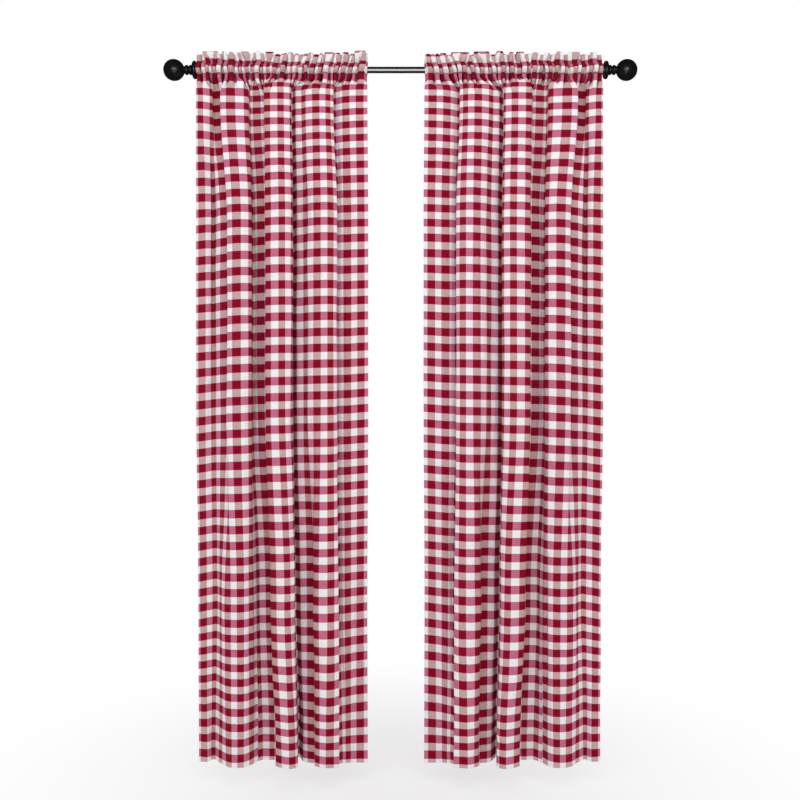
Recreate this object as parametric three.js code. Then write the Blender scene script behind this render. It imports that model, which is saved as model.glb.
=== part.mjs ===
// A pair of gathered curtains on one thin rod with ball finials.
// Millimetres, +Z up. The rod's axis runs along X, and the origin is on it, midway between its ends.
// The curtains hang towards -Z, and their faces look towards -Y.
import * as THREE from "three";

const { lerp, smoothstep } = THREE.MathUtils;

// Rod, collars and finials: turned pieces on the rod's axis
const ROD_DIAMETER = 19;
const ROUND_SIDES = 24;
const CLEARANCE = 0.3;
const COLLAR_INNER_FACE = 616.5; // from the middle of the rod
const COLLAR_WIDTH = 12;
const COLLAR_DIAMETER = 54;
const COLLAR_FACE_DIAMETER = 43;
const SOCKET_DEPTH = 8;
const BALL_DIAMETER = 64;
const BALL_REACH = 57; // from the collar's outer face to the ball's centre
const NECK_DIAMETER = 22;
const BEAD_DIAMETER = 30;
const BEAD_WIDTH = 10;
const BEAD_PLACES = [6, 18.5]; // from the collar's outer face to the middle of each bead
const ARC_STEPS = { collar: 6, bead: 4, ball: 11 }; // edges along each rounded profile

// Cloth and heading: heights are measured from the rod's axis
const CLOTH_WIDTH = 1010; // the finished width of a panel laid flat
const SKIN = 1.5; // thickness of the cloth
const RUFFLE_TOP = 51;
const RUFFLE_DIP = 4; // how far the wavy top edge drops
const STITCH = 14.5; // the two rows of stitches, above and below the rod
const POCKET_END = 12; // where the two layers part, above and below the rod
const POCKET_ROW = 8; // rows of the pocket's front and back layers, above and below the rod
const POCKET_DEPTH = 12; // from the rod's axis to the pocket's layers, where they lie nearest to it
const HEADING_MARGIN = 3; // the heading starts this far inside the widest part of the panel
const HEADING_WIDTH = 514;

// Pleats of the heading: columns across the cloth stand forward and back in turn
const COLUMN_COUNT = 88;
const PLEAT_AT_STITCH = 4;
const PLEAT_AT_POCKET = 7;
const PLEAT_AT_TOP = 7;
const PLEAT_UNEVEN = 0.3;
const PLEAT_WAVE = 1.9; // radians from column to column of the wave that makes the pleats uneven
const RUFFLE_WAVE = 0.7; // and of the wave along the ruffle's top edge
const MITRE_LIMIT = 0.3; // keeps the cloth's faces close to its middle at sharp corners

// Rows of the hanging cloth, downwards from the rod, and how much of the heading's pleats each still has
const HANGING_ROWS = [
  { drop: 45, gather: 0.45 },
  { drop: 110, gather: 0.12 },
  { drop: 260, gather: 0 },
  { drop: 450, gather: 0 },
  { drop: 1000, gather: 0 },
  { drop: 1300, gather: 0 },
  { drop: 1600, gather: 0 },
  { drop: 2095, gather: 0 },
];
const FOLDS_SETTLE = [90, 450]; // the folds go from their top shape to the middle one between these drops
const FOLDS_DEEPEN = [1000, 1600]; // from there to the lower one between these
const FOLDS_SPREAD = [1600, 2095]; // and to the hem's between these

// The folds of one panel from its outer edge to its inner one. cloth is the place along the flat cloth.
// The rest are the places there in plan at four heights: how far in from the outer edge, and how far forward.
const FOLDS = [
  { at: "outer edge", cloth: 0, top: [0, 6], middle: [-4, -14], lower: [2, -20], hem: [3, -22] },
  { at: "outer roll", cloth: 31, top: [21, 9], middle: [25, -10], lower: [27, -13], hem: [29, -18] },
  { at: "outer valley", cloth: 66, top: [47, -4], middle: [48, -21], lower: [55, -13], hem: [44, -36] },
  { at: "outer slope", cloth: 100, top: [45, -22], middle: [72, -1], lower: [72, 6], hem: [66, -14] },
  { at: "first lap", cloth: 123, top: [69, -15], middle: [94, 9], lower: [81, 24], hem: [79, 4] },
  { at: "first tuck", cloth: 144, top: [82, -8], middle: [113, 10], lower: [91, 38], hem: [92, 22] },
  { at: "first rise", cloth: 169, top: [74, 13], middle: [98, 33], lower: [111, 48], hem: [113, 38] },
  { at: "first crest", cloth: 215, top: [119, 18], middle: [141, 47], lower: [151, 49], hem: [149, 40] },
  { at: "second lap", cloth: 252, top: [157, 10], middle: [171, 30], lower: [173, 30], hem: [170, 15] },
  { at: "second tuck", cloth: 278, top: [158, -8], middle: [163, 4], lower: [181, 6], hem: [182, -6] },
  { at: "first hollow", cloth: 307, top: [160, -20], middle: [170, -15], lower: [189, -14], hem: [198, -21] },
  { at: "hollow floor", cloth: 330, top: [168, -20], middle: [184, -4], lower: [208, -17], hem: [219, -20] },
  { at: "hollow end", cloth: 353, top: [192, -16], middle: [206, 3], lower: [228, -18], hem: [234, -16] },
  { at: "third tuck", cloth: 402, top: [209, -13], middle: [247, -8], lower: [268, -18], hem: [278, -24] },
  { at: "third lap", cloth: 468, top: [206, 8], middle: [214, 41], lower: [230, 41], hem: [246, 40] },
  { at: "second crest", cloth: 514, top: [247, 16], middle: [256, 60], lower: [274, 66], hem: [289, 71] },
  { at: "crest end", cloth: 543, top: [270, 15], middle: [279, 58], lower: [295, 62], hem: [309, 62] },
  { at: "fourth lap", cloth: 568, top: [287, 8], middle: [295, 45], lower: [303, 44], hem: [312, 42] },
  { at: "fourth tuck", cloth: 621, top: [283, -20], middle: [286, -7], lower: [293, -7], hem: [303, -10] },
  { at: "fourth fold", cloth: 646, top: [286, -34], middle: [288, -30], lower: [297, -30], hem: [309, -30] },
  { at: "second hollow", cloth: 675, top: [298, -18], middle: [303, -5], lower: [314, -9], hem: [324, 4] },
  { at: "hollow edge", cloth: 698, top: [317, -12], middle: [325, 6], lower: [334, -8], hem: [338, 15] },
  { at: "third rise", cloth: 721, top: [330, -1], middle: [339, 22], lower: [358, 2], hem: [359, 24] },
  { at: "third shoulder", cloth: 750, top: [358, 10], middle: [363, 35], lower: [358, 36], hem: [366, 48] },
  { at: "third crest", cloth: 790, top: [392, 11], middle: [400, 40], lower: [401, 54], hem: [397, 67] },
  { at: "fifth lap", cloth: 833, top: [414, 2], middle: [426, 24], lower: [432, 42], hem: [434, 52] },
  { at: "fifth tuck", cloth: 865, top: [411, -22], middle: [417, -7], lower: [421, 12], hem: [428, 22] },
  { at: "third hollow", cloth: 905, top: [420, -22], middle: [427, -26], lower: [434, -18], hem: [442, -4] },
  { at: "inner rise", cloth: 922, top: [437, -8], middle: [441, -10], lower: [445, -11], hem: [449, -8] },
  { at: "inner swell", cloth: 951, top: [463, 2], middle: [468, -5], lower: [467, -12], hem: [466, -16] },
  { at: "inner edge", cloth: CLOTH_WIDTH, top: [518, 2], middle: [520, -10], lower: [517, -18], hem: [518, -22] },
];

// The two panels mirror each other, and the right one is drawn up a little less.
const PANELS = [
  { name: "panel_left", side: -1, outerEdge: 617.5, widen: 1, pleatShift: 0 },
  { name: "panel_right", side: 1, outerEdge: 613, widen: 1.043, pleatShift: 2.4 },
];

const clothFinish = new THREE.MeshStandardMaterial({ color: 0xc46a78, roughness: 0.9, metalness: 0 });
const rodFinish = new THREE.MeshStandardMaterial({ color: 0x16140f, roughness: 0.3, metalness: 0.6 });
const finialFinish = new THREE.MeshStandardMaterial({ color: 0x151313, roughness: 0.45, metalness: 0.3 });

// How far a column of the heading stands forward or back, as a share of the pleat's depth.
function pleatShare(column, shift) {
  const side = column % 2 ? -1 : 1;
  return side * (1 + PLEAT_UNEVEN * Math.sin(PLEAT_WAVE * column + shift));
}

// A row of the heading in plan, one [across, forward] point for each column.
function headingRow(shift, forwardAt) {
  return Array.from({ length: COLUMN_COUNT + 1 }, (_, column) => [
    HEADING_MARGIN + (HEADING_WIDTH * column) / COLUMN_COUNT,
    forwardAt(pleatShare(column, shift)),
  ]);
}

// A row of the hanging cloth in plan at a drop below the rod: a smooth curve through the fold table.
function foldRow(drop) {
  const settled = smoothstep(drop, ...FOLDS_SETTLE);
  const deepened = smoothstep(drop, ...FOLDS_DEEPEN);
  const spread = smoothstep(drop, ...FOLDS_SPREAD);
  const blend = ({ top, middle, lower, hem }, k) =>
    lerp(lerp(lerp(top[k], middle[k], settled), lower[k], deepened), hem[k], spread);
  const curve = new THREE.CatmullRomCurve3(
    FOLDS.map((fold) => new THREE.Vector3(blend(fold, 0), blend(fold, 1), 0)),
  );
  const spans = FOLDS.length - 1;
  return Array.from({ length: COLUMN_COUNT + 1 }, (_, column) => {
    const cloth = (CLOTH_WIDTH * column) / COLUMN_COUNT;
    const next = Math.max(1, FOLDS.findIndex((fold) => fold.cloth >= cloth));
    const start = FOLDS[next - 1].cloth;
    const share = (cloth - start) / (FOLDS[next].cloth - start);
    const point = curve.getPoint((next - 1 + share) / spans);
    return [point.x, point.y];
  });
}

// Moves a row in plan sideways off itself, with mitred corners, to give one face of the cloth.
function offsetRow(row, distance) {
  const normalOf = (a, b) => new THREE.Vector2(a[1] - b[1], b[0] - a[0]).normalize();
  return row.map((point, i) => {
    const before = normalOf(row[Math.max(i - 1, 0)], row[Math.max(i, 1)]);
    const last = row.length - 1;
    const after = normalOf(row[Math.min(i, last - 1)], row[Math.min(i + 1, last)]);
    const mitre = before.clone().add(after).normalize();
    const reach = distance / Math.max(mitre.dot(after), MITRE_LIMIT);
    return [point[0] + mitre.x * reach, point[1] + mitre.y * reach];
  });
}

// The rows of one panel: its outside, from the hem up the front and down the back, and its rod pocket.
function panelRows(shift) {
  const front = [];
  const back = [];
  const addSheet = (row, height, thickness) => {
    front.push({ row: offsetRow(row, thickness / 2), height });
    back.unshift({ row: offsetRow(row, -thickness / 2), height });
  };
  const stitched = headingRow(shift, (pleat) => PLEAT_AT_STITCH * pleat);
  for (const { drop, gather } of HANGING_ROWS.toReversed()) {
    const gathered = ([across, forward], column) => [
      lerp(across, stitched[column][0], gather),
      lerp(forward, stitched[column][1], gather),
    ];
    addSheet(foldRow(drop).map(gathered), () => -drop, SKIN);
  }
  addSheet(stitched, () => -STITCH, 2 * SKIN);

  const pocketFront = headingRow(shift, (pleat) => POCKET_DEPTH + (PLEAT_AT_POCKET * (1 + pleat)) / 2);
  const pocketBack = headingRow(shift, (pleat) => -POCKET_DEPTH - (PLEAT_AT_POCKET * (1 - pleat)) / 2);
  const pocketHeights = [() => -POCKET_ROW, () => POCKET_ROW];
  for (const height of pocketHeights) {
    front.push({ row: offsetRow(pocketFront, SKIN / 2), height });
    back.unshift({ row: offsetRow(pocketBack, -SKIN / 2), height });
  }
  const innerFront = pocketHeights.map((height) => ({ row: offsetRow(pocketFront, -SKIN / 2), height }));
  const innerBack = pocketHeights.map((height) => ({ row: offsetRow(pocketBack, SKIN / 2), height }));
  const pocket = [
    { row: stitched, height: () => -POCKET_END },
    ...innerFront,
    { row: stitched, height: () => POCKET_END },
    ...innerBack.toReversed(),
  ];

  addSheet(stitched, () => STITCH, 2 * SKIN);
  const ruffle = headingRow(shift, (pleat) => PLEAT_AT_TOP * pleat);
  const wavyTop = (column) => RUFFLE_TOP - RUFFLE_DIP * Math.sin(RUFFLE_WAVE * column + shift) ** 2;
  addSheet(ruffle, wavyTop, 2 * SKIN);
  return { outside: [...front, ...back], pocket };
}

// One closed skin over a panel's rows, with the pocket open from end to end.
function panelGeometry({ side, outerEdge, widen, pleatShift }) {
  const { outside, pocket } = panelRows(pleatShift);
  const columns = Array.from({ length: COLUMN_COUNT + 1 }, (_, i) => i);
  if (side > 0) columns.reverse(); // columns always run towards +X
  const rows = [...outside, ...pocket];
  const positions = rows.flatMap(({ row, height }) =>
    columns.flatMap((column) => {
      const [across, forward] = row[column];
      return [side * (outerEdge - widen * across), -forward, height(column)];
    }),
  );
  const index = [];
  const stride = columns.length;
  const quad = (a, b, c, d) => index.push(a, b, c, a, c, d);
  const skin = (first, count) => {
    for (let r = 0; r < count; r++) {
      const low = (first + r) * stride;
      const high = (first + ((r + 1) % count)) * stride;
      const goesDown = r >= count / 2; // the back's diagonals lie behind the front's
      for (let c = 0; c < COLUMN_COUNT; c++) {
        if (goesDown) quad(low + c + 1, high + c + 1, high + c, low + c);
        else quad(low + c, low + c + 1, high + c + 1, high + c);
      }
    }
  };
  skin(0, outside.length);
  const pocketStart = index.length;
  skin(outside.length, pocket.length);
  flipFaces(index, pocketStart); // the pocket's wall faces the rod

  const hangingRows = HANGING_ROWS.length;
  const backOf = (r) => outside.length - 1 - r;
  const outline = rows.map((_, r) => r).slice(hangingRows, backOf(hangingRows) + 1);
  const hole = rows.map((_, r) => r).slice(outside.length);
  for (const end of [0, COLUMN_COUNT]) {
    const capStart = index.length;
    const vertex = (r) => r * stride + end;
    for (let r = 0; r < hangingRows; r++) {
      quad(...[backOf(r), backOf(r + 1), r + 1, r].map(vertex));
    }
    const corner = (r) => new THREE.Vector2(...positions.slice(3 * vertex(r) + 1, 3 * vertex(r) + 3));
    const faces = THREE.ShapeUtils.triangulateShape(outline.map(corner), [hole.map(corner)]);
    const edges = [...outline, ...hole];
    for (const face of faces) index.push(...face.map((k) => vertex(edges[k])));
    if (end === 0) flipFaces(index, capStart);
  }
  const geometry = new THREE.BufferGeometry();
  geometry.setAttribute("position", new THREE.Float32BufferAttribute(positions, 3));
  geometry.setIndex(index);
  return geometry;
}

// Turns the faces from a place in an index round.
function flipFaces(index, from) {
  for (let i = from; i < index.length; i += 3) {
    [index[i], index[i + 1]] = [index[i + 1], index[i]];
  }
}

// A profile's point at a radius and a place along the axis.
const at = (radius, along) => new THREE.Vector2(radius, along);

// Points on an ellipse of a turned profile, from one angle to another, with 90 degrees at its widest.
function turnedArc(centre, radius, halfWidth, from, to, steps, foot = 0) {
  return Array.from({ length: steps + 1 }, (_, i) => {
    const angle = THREE.MathUtils.degToRad(lerp(from, to, i / steps));
    return at(foot + radius * Math.sin(angle), centre - halfWidth * Math.cos(angle));
  });
}

// A collar along +Y: a rounded cap whose socket, open at the bottom, takes the rod's end.
function collarGeometry() {
  const socketRadius = ROD_DIAMETER / 2 + CLEARANCE;
  const faceRadius = COLLAR_FACE_DIAMETER / 2;
  const swell = COLLAR_DIAMETER / 2 - faceRadius;
  return new THREE.LatheGeometry(
    [
      at(0, SOCKET_DEPTH),
      at(socketRadius, SOCKET_DEPTH),
      at(socketRadius, 0),
      ...turnedArc(COLLAR_WIDTH / 2, swell, COLLAR_WIDTH / 2, 0, 180, ARC_STEPS.collar, faceRadius),
      at(0, COLLAR_WIDTH),
    ],
    ROUND_SIDES,
  );
}

// A finial along +Y: a neck with beads that ends in a ball.
function finialGeometry() {
  const neck = NECK_DIAMETER / 2;
  const ball = BALL_DIAMETER / 2;
  const start = THREE.MathUtils.radToDeg(Math.asin(neck / ball)); // where the ball meets its neck
  const beads = BEAD_PLACES.flatMap((place) =>
    turnedArc(place, BEAD_DIAMETER / 2 - neck, BEAD_WIDTH / 2, 0, 180, ARC_STEPS.bead, neck),
  );
  return new THREE.LatheGeometry(
    [at(0, 0), ...beads, ...turnedArc(BALL_REACH, ball, ball, start, 180, ARC_STEPS.ball)],
    ROUND_SIDES,
  );
}

// A turned mesh whose profile's +Y points out along the rod, on one side of the middle.
function turned(name, geometry, finish, side, distance) {
  const mesh = new THREE.Mesh(geometry, finish);
  mesh.name = name;
  mesh.rotation.z = (-side * Math.PI) / 2;
  mesh.position.x = side * distance;
  return mesh;
}

const curtains = new THREE.Group();

for (const panel of PANELS) {
  const mesh = new THREE.Mesh(panelGeometry(panel), clothFinish);
  mesh.name = panel.name;
  curtains.add(mesh);
}

const rodLength = 2 * (COLLAR_INNER_FACE + SOCKET_DEPTH - CLEARANCE);
const rodRadius = ROD_DIAMETER / 2;
const rodShape = new THREE.CylinderGeometry(rodRadius, rodRadius, rodLength, ROUND_SIDES);
curtains.add(turned("rod", rodShape, rodFinish, 1, 0));

for (const [end, side] of [["left", -1], ["right", 1]]) {
  const finialStart = COLLAR_INNER_FACE + COLLAR_WIDTH + CLEARANCE;
  curtains.add(turned(`collar_${end}`, collarGeometry(), finialFinish, side, COLLAR_INNER_FACE));
  curtains.add(turned(`finial_${end}`, finialGeometry(), finialFinish, side, finialStart));
}

export default curtains;
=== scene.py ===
"""Looks for a pair of gingham curtains, gathered on one thin rod with ball finials.

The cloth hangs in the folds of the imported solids, with finer gathers, hems and stitches. The rod, its
collars and its finials are turned again on the solids' sizes with smooth profiles. Plan places and
heights are worked out in millimetres, and a mesh takes them in metres.
"""
import logging
import math
from dataclasses import dataclass, field
from enum import Enum

import bmesh
import bpy
import numpy as np
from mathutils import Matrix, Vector


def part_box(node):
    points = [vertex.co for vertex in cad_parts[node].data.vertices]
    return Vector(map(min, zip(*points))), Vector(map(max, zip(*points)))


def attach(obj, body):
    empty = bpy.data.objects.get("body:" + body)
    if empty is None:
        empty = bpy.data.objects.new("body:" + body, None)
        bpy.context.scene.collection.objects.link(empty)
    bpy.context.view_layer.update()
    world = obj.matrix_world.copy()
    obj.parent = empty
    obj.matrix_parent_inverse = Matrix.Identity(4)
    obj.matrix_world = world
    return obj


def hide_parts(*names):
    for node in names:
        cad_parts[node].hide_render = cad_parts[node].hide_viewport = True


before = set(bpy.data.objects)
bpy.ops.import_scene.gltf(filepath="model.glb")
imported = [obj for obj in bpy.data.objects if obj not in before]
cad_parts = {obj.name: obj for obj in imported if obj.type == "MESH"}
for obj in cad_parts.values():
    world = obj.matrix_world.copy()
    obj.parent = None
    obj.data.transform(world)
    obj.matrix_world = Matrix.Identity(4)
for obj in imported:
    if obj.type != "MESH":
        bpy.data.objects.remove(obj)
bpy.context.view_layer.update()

log = logging.getLogger("curtains")

MM = 0.001
CHECK = 23.0  # one check of the gingham
CLOTH_WIDTH = 1010.0  # a panel laid flat


class Side(Enum):
    """Which end of the rod a piece is at. The value is the sign of its X."""

    LEFT = -1
    RIGHT = 1

    def node(self, stem: str) -> str:
        """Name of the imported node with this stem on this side."""
        return f"{stem}_{self.name.lower()}"


@dataclass(frozen=True)
class Fold:
    """A station of a panel's folds, in from the outer edge.

    Attributes:
        name: what the cloth does there.
        cloth: place along the flat cloth.
        top: plan place under the heading, as (in from the outer edge, forward of the rod).
        middle: plan place from a quarter of the way down to halfway.
        lower: plan place three quarters of the way down.
        hem: plan place at the hem.
    """

    name: str
    cloth: float
    top: tuple[float, float]
    middle: tuple[float, float]
    lower: tuple[float, float]
    hem: tuple[float, float]


FOLDS = (
    Fold("outer edge", 0, (0, 6), (-4, -14), (2, -20), (3, -22)),
    Fold("outer roll", 31, (21, 9), (25, -10), (27, -13), (29, -18)),
    Fold("outer valley", 66, (47, -4), (48, -21), (55, -13), (44, -36)),
    Fold("outer slope", 100, (45, -22), (72, -1), (72, 6), (66, -14)),
    Fold("first lap", 123, (69, -15), (94, 9), (81, 24), (79, 4)),
    Fold("first tuck", 144, (82, -8), (113, 10), (91, 38), (92, 22)),
    Fold("first rise", 169, (74, 13), (98, 33), (111, 48), (113, 38)),
    Fold("first crest", 215, (119, 18), (141, 47), (151, 49), (149, 40)),
    Fold("second lap", 252, (157, 10), (171, 30), (173, 30), (170, 15)),
    Fold("second tuck", 278, (158, -8), (163, 4), (181, 6), (182, -6)),
    Fold("first hollow", 307, (160, -20), (170, -15), (189, -14), (198, -21)),
    Fold("hollow floor", 330, (168, -20), (184, -4), (208, -17), (219, -20)),
    Fold("hollow end", 353, (192, -16), (206, 3), (228, -18), (234, -16)),
    Fold("third tuck", 402, (209, -13), (247, -8), (268, -18), (278, -24)),
    Fold("third lap", 468, (206, 8), (214, 41), (230, 41), (246, 40)),
    Fold("second crest", 514, (247, 16), (256, 60), (274, 66), (289, 71)),
    Fold("crest end", 543, (270, 15), (279, 58), (295, 62), (309, 62)),
    Fold("fourth lap", 568, (287, 8), (295, 45), (303, 44), (312, 42)),
    Fold("fourth tuck", 621, (283, -20), (286, -7), (293, -7), (303, -10)),
    Fold("fourth fold", 646, (286, -34), (288, -30), (297, -30), (309, -30)),
    Fold("second hollow", 675, (298, -18), (303, -5), (314, -9), (324, 4)),
    Fold("hollow edge", 698, (317, -12), (325, 6), (334, -8), (338, 15)),
    Fold("third rise", 721, (330, -1), (339, 22), (358, 2), (359, 24)),
    Fold("third shoulder", 750, (358, 10), (363, 35), (358, 36), (366, 48)),
    Fold("third crest", 790, (392, 11), (400, 40), (401, 54), (397, 67)),
    Fold("fifth lap", 833, (414, 2), (426, 24), (432, 42), (434, 52)),
    Fold("fifth tuck", 865, (411, -22), (417, -7), (421, 12), (428, 22)),
    Fold("third hollow", 905, (420, -22), (427, -26), (434, -18), (442, -4)),
    Fold("inner rise", 922, (437, -8), (441, -10), (445, -11), (449, -8)),
    Fold("inner swell", 951, (463, 2), (468, -5), (467, -12), (466, -16)),
    Fold("inner edge", CLOTH_WIDTH, (518, 2), (520, -10), (517, -18), (518, -22)),
)
FOLDS_SETTLE = (90.0, 450.0)  # drops between which the folds go from their top shape to the middle one
FOLDS_DEEPEN = (1000.0, 1600.0)  # from the middle to the lower one
FOLDS_SPREAD = (1600.0, 2095.0)  # and from the lower one to the hem's


@dataclass(frozen=True)
class WeaveRow:
    """How many rows of checks lie above places along the cloth, at one length below the heading.

    The cloth is gathered out of square, and most of the difference is taken up in two tucks. Rows are
    counted from the first red row under the heading.

    Attributes:
        below_seam: length down the cloth from the lower row of stitches.
        counts: rows above the outer edge, the outer valley, the two sides of the second tuck, the two
            sides of the third one, the third crest, the inner swell and the inner edge.
    """

    below_seam: float
    counts: tuple[float, ...]


WEAVE_PLACES = (0, 66, 275, 275, 420, 420, 800, 940, CLOTH_WIDTH)  # where along the cloth they are
WEAVE_ROWS = (
    WeaveRow(-85, (-4.7, -4.7, -4.75, -6.7, -6.75, -5.1, -5.15, -5.15, -5.15)),
    WeaveRow(-82, (-4.6, -4.6, -4.65, -6.6, -6.65, -4.95, -5.0, -5.0, -5.0)),
    WeaveRow(-63, (-3.95, -3.95, -4.05, -6.1, -6.15, -4.3, -4.35, -4.4, -4.4)),
    WeaveRow(-54, (-3.6, -3.6, -3.7, -5.75, -5.8, -3.9, -3.95, -4.0, -4.0)),
    WeaveRow(-28, (-3.1, -3.1, -3.1, -5.15, -5.15, -3.1, -3.1, -3.1, -3.1)),
    WeaveRow(-3, (-2.0, -2.0, -2.0, -4.0, -4.0, -2.0, -2.0, -2.0, -2.0)),
    WeaveRow(22, (-1.13, -1.13, -1.3, -2.8, -2.8, -0.75, -1.1, -1.12, -1.1)),
    WeaveRow(32, (-0.67, -0.7, -0.85, -1.9, -1.9, 0.2, -0.1, -0.1, -0.1)),
    WeaveRow(45, (-0.07, -0.1, -0.22, -0.95, -0.95, 1.15, 0.84, 0.75, 0.8)),
    WeaveRow(63, (0.92, 0.8, 0.48, 0.15, 0.15, 2.2, 1.9, 1.75, 1.85)),
    WeaveRow(140, (4.6, 4.45, 4.4, 4.35, 4.35, 6.2, 6.0, 5.8, 5.95)),
    WeaveRow(285, (10.8, 10.75, 10.9, 11.0, 11.05, 13.0, 13.05, 13.0, 13.15)),
    WeaveRow(485, (19.15, 19.4, 19.65, 19.6, 19.65, 21.75, 21.95, 22.0, 22.15)),
    WeaveRow(785, (31.55, 31.75, 32.2, 32.0, 32.1, 34.3, 34.55, 34.6, 34.8)),
    WeaveRow(1085, (43.75, 44.05, 44.5, 44.5, 44.6, 46.8, 47.2, 47.4, 47.65)),
    WeaveRow(1385, (56.35, 56.7, 57.0, 57.05, 57.2, 59.3, 59.95, 60.35, 60.6)),
    WeaveRow(1535, (62.7, 63.15, 63.35, 63.3, 63.4, 65.6, 66.45, 66.9, 67.15)),
    WeaveRow(1685, (69.2, 69.7, 69.9, 69.75, 69.85, 72.0, 72.4, 73.0, 73.3)),
    WeaveRow(1935, (81.05, 81.15, 81.15, 80.75, 80.75, 82.5, 82.45, 82.95, 83.25)),
    WeaveRow(2080, (87.6, 87.45, 87.7, 87.4, 87.45, 89.55, 89.45, 89.4, 89.45)),
)

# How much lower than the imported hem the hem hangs, by place along the cloth
HEM_PLACES = (0, 215, 350, 530, 680, 800, 920, CLOTH_WIDTH)
HEM_LOWER = (8, 4, 2, -4, -2, -4, 8, 12)

# How far the pleats lean sideways down the pocket, by place along the cloth
LEAN_PLACES = (0, 100, 300, 550, 750, 960, CLOTH_WIDTH)
LEAN_ASIDE = (0, 0, -3, -4, -6, -9, 0)


@dataclass(frozen=True)
class Crease:
    """A soft trough that runs down the cloth, or a ridge where its depth is below 0.

    Attributes:
        cloth: place along the flat cloth where it begins.
        strays: how far along the cloth its lower end lies from there.
        upper: drop where it begins.
        lower: drop where it ends.
        depth: how far it lies behind the cloth beside it.
        width: half its width.
        comes_in: share of its run at which it reaches its full depth.
        runs_out: share at which it begins to run out.
    """

    cloth: float
    strays: float
    upper: float
    lower: float
    depth: float
    width: float
    comes_in: float = 0.3
    runs_out: float = 0.65

    def depths(self, drops: np.ndarray, cloth: np.ndarray) -> np.ndarray:
        """Depth of the crease over the cloth.

        Args:
            drops: drops below the rod.
            cloth: places along the flat cloth.

        Returns:
            Depths shaped (drops, places).
        """
        run = (drops - self.upper) / (self.lower - self.upper)
        fade = smoothstep(run, 0, self.comes_in) * (1 - smoothstep(run, self.runs_out, 1))
        aside = (cloth - self.cloth - self.strays * run[:, None]) / self.width
        return self.depth * fade[:, None] * np.exp(-aside * aside)


CREASES = (
    Crease(cloth=62, strays=3, upper=130, lower=1050, depth=11.0, width=6.0),
    Crease(cloth=148, strays=-8, upper=420, lower=800, depth=3.0, width=6.0),
    Crease(cloth=238, strays=10, upper=1350, lower=1980, depth=4.0, width=6.0),
    Crease(cloth=196, strays=12, upper=900, lower=1500, depth=2.0, width=9.0),
    Crease(cloth=500, strays=16, upper=1000, lower=1700, depth=2.5, width=8.0),
    Crease(cloth=530, strays=-14, upper=150, lower=620, depth=1.5, width=7.0),
    Crease(cloth=762, strays=14, upper=500, lower=1150, depth=2.0, width=7.0),
    Crease(cloth=800, strays=-10, upper=1150, lower=1900, depth=3.0, width=9.0),
    Crease(cloth=960, strays=10, upper=1400, lower=2050, depth=3.0, width=9.0),
    Crease(cloth=28, strays=8, upper=1200, lower=2000, depth=4.0, width=8.0),
    Crease(cloth=902, strays=0, upper=100, lower=1500, depth=-12.0, width=17.0),
)


def smoothstep(value: np.ndarray, low: float, high: float) -> np.ndarray:
    """Smooth share from 0 at low to 1 at high."""
    share = np.clip((value - low) / (high - low), 0, 1)
    return share * share * (3 - 2 * share)


def curve_through(knots: np.ndarray, stations: np.ndarray, places: np.ndarray) -> np.ndarray:
    """Smooth centripetal curves through rows of knots.

    Args:
        knots: plan places, shaped (rows, stations, 2).
        stations: place of each station along the cloth.
        places: places along the cloth to work out.

    Returns:
        Plan places shaped (rows, places, 2).
    """
    first = 2 * knots[:, :1] - knots[:, 1:2]
    last = 2 * knots[:, -1:] - knots[:, -2:-1]
    padded = np.concatenate([first, knots, last], axis=1)
    leg = np.diff(padded, axis=1)
    pace = np.sqrt(np.linalg.norm(leg, axis=2, keepdims=True))
    chord = (padded[:, 2:] - padded[:, :-2]) / (pace[:, :-1] + pace[:, 1:])
    tangent = leg[:, :-1] / pace[:, :-1] - chord + leg[:, 1:] / pace[:, 1:]
    span = np.clip(np.searchsorted(stations, places, side="right") - 1, 0, len(stations) - 2)
    share = ((places - stations[span]) / np.diff(stations)[span])[None, :, None]
    leg_pace = pace[:, 1:-1][:, span]
    start, end = knots[:, span], knots[:, span + 1]
    leave, arrive = tangent[:, span] * leg_pace, tangent[:, span + 1] * leg_pace
    rise = share * share * (3 - 2 * share)
    return (
        start
        + (end - start) * rise
        + leave * share * (1 - share) ** 2
        - arrive * share * share * (1 - share)
    )


def plan_normals(plan: np.ndarray) -> np.ndarray:
    """Unit normals of plan curves, on their forward side.

    Args:
        plan: plan places shaped (..., columns, 2).

    Returns:
        Normals of the same shape.
    """
    along = np.gradient(plan, axis=-2)
    normal = np.stack([-along[..., 1], along[..., 0]], axis=-1)
    return normal / np.linalg.norm(normal, axis=-1, keepdims=True)


def add_object(name: str, data: bpy.types.ID) -> bpy.types.Object:
    """Adds an object with its data to the scene.

    Args:
        name: name of the object.
        data: its mesh, light or camera.

    Returns:
        The new object.
    """
    added = bpy.data.objects.new(name, data)
    bpy.context.scene.collection.objects.link(added)
    return added


def shade_smooth(mesh: bpy.types.Mesh) -> None:
    """Shades every face of a mesh smooth."""
    mesh.polygons.foreach_set("use_smooth", np.ones(len(mesh.polygons), dtype=bool))


def sheet_faces(rows: int, columns: int) -> np.ndarray:
    """Faces of a closed sheet: its outside, its inside and the rim between them.

    Args:
        rows: rows of points on each side.
        columns: points in a row.

    Returns:
        Indices shaped (faces, 4) into the outside's points and then the inside's.
    """
    inside = rows * columns
    index = np.arange(inside).reshape(rows, columns)
    corners = (index[:-1, :-1], index[:-1, 1:], index[1:, 1:], index[1:, :-1])
    quads = np.stack(corners, axis=-1).reshape(-1, 4)
    rim = np.concatenate([index[0, :-1], index[:-1, -1], index[-1, :0:-1], index[:0:-1, 0]])
    ahead = np.roll(rim, -1)
    edge = np.stack([ahead, rim, rim + inside, ahead + inside], axis=-1)
    return np.concatenate([quads, quads[:, ::-1] + inside, edge])


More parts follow.
